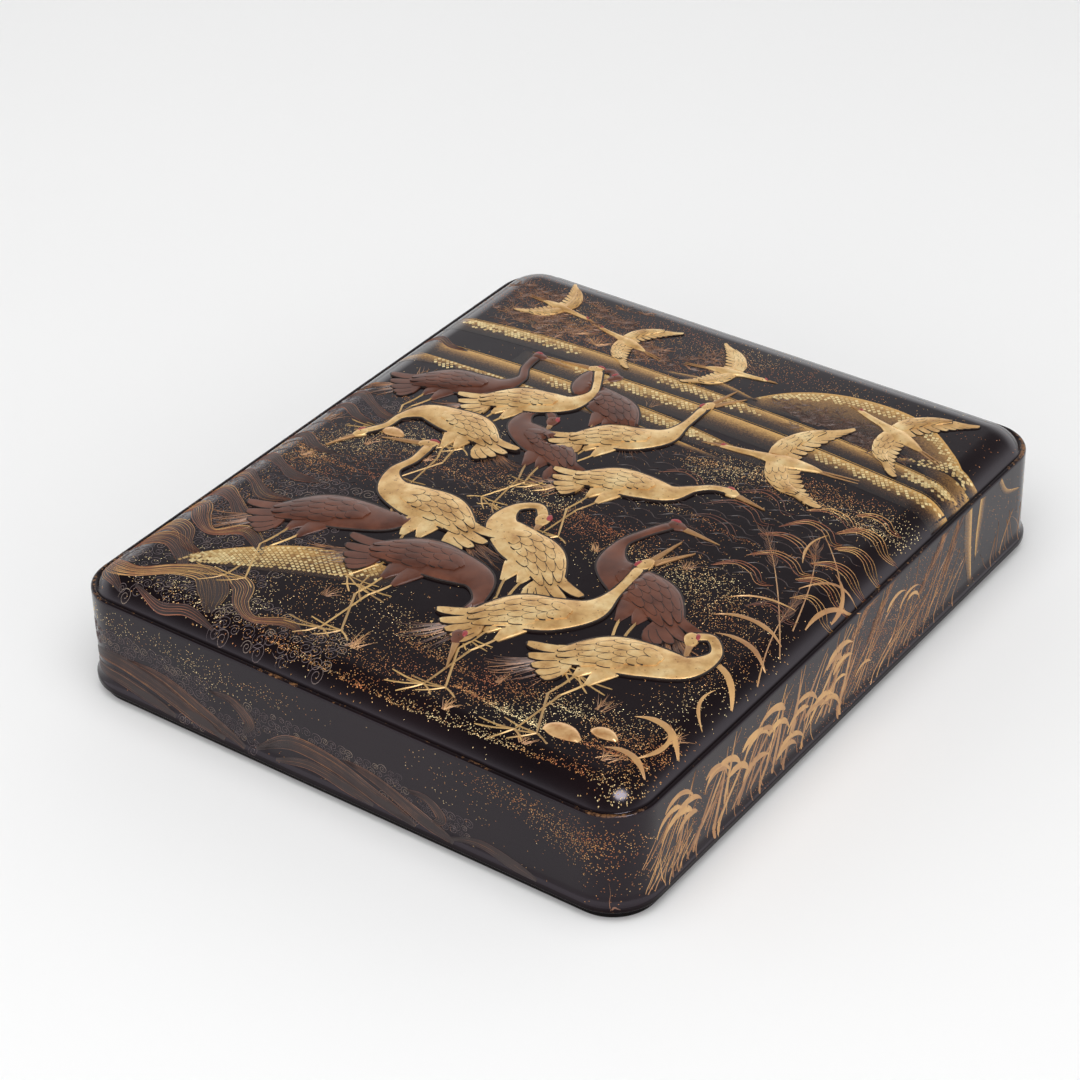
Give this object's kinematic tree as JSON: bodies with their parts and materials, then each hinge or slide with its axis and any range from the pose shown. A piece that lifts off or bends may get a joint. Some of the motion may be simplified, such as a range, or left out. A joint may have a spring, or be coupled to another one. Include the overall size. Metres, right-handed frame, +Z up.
{
  "type": "lacquer writing box",
  "caption": "Low rectangular lacquer box: a shallow tray under a deep lift-off lid with rounded corners, a domed top and cranes in gold and brown relief.",
  "frame": {"origin": "middle of the underside, on the plane that the box stands on", "axes": "+X along the front edge to the right, +Y from the front to the back (the longer way), +Z up through the lid"},
  "size_m": [0.2126, 0.2466, 0.0477],
  "materials": {
    "lid_lacquer": "thin wood under polished black lacquer with a brown cast, with gold and brown raised lacquer figures, gold dust and worn edges",
    "tray_lacquer": "thin wood under plain polished black lacquer, with sparse gold flakes inside"
  },
  "bodies": {
    "root": {"lid": "lid_lacquer", "tray": "tray_lacquer"}
  },
  "joints": []
}
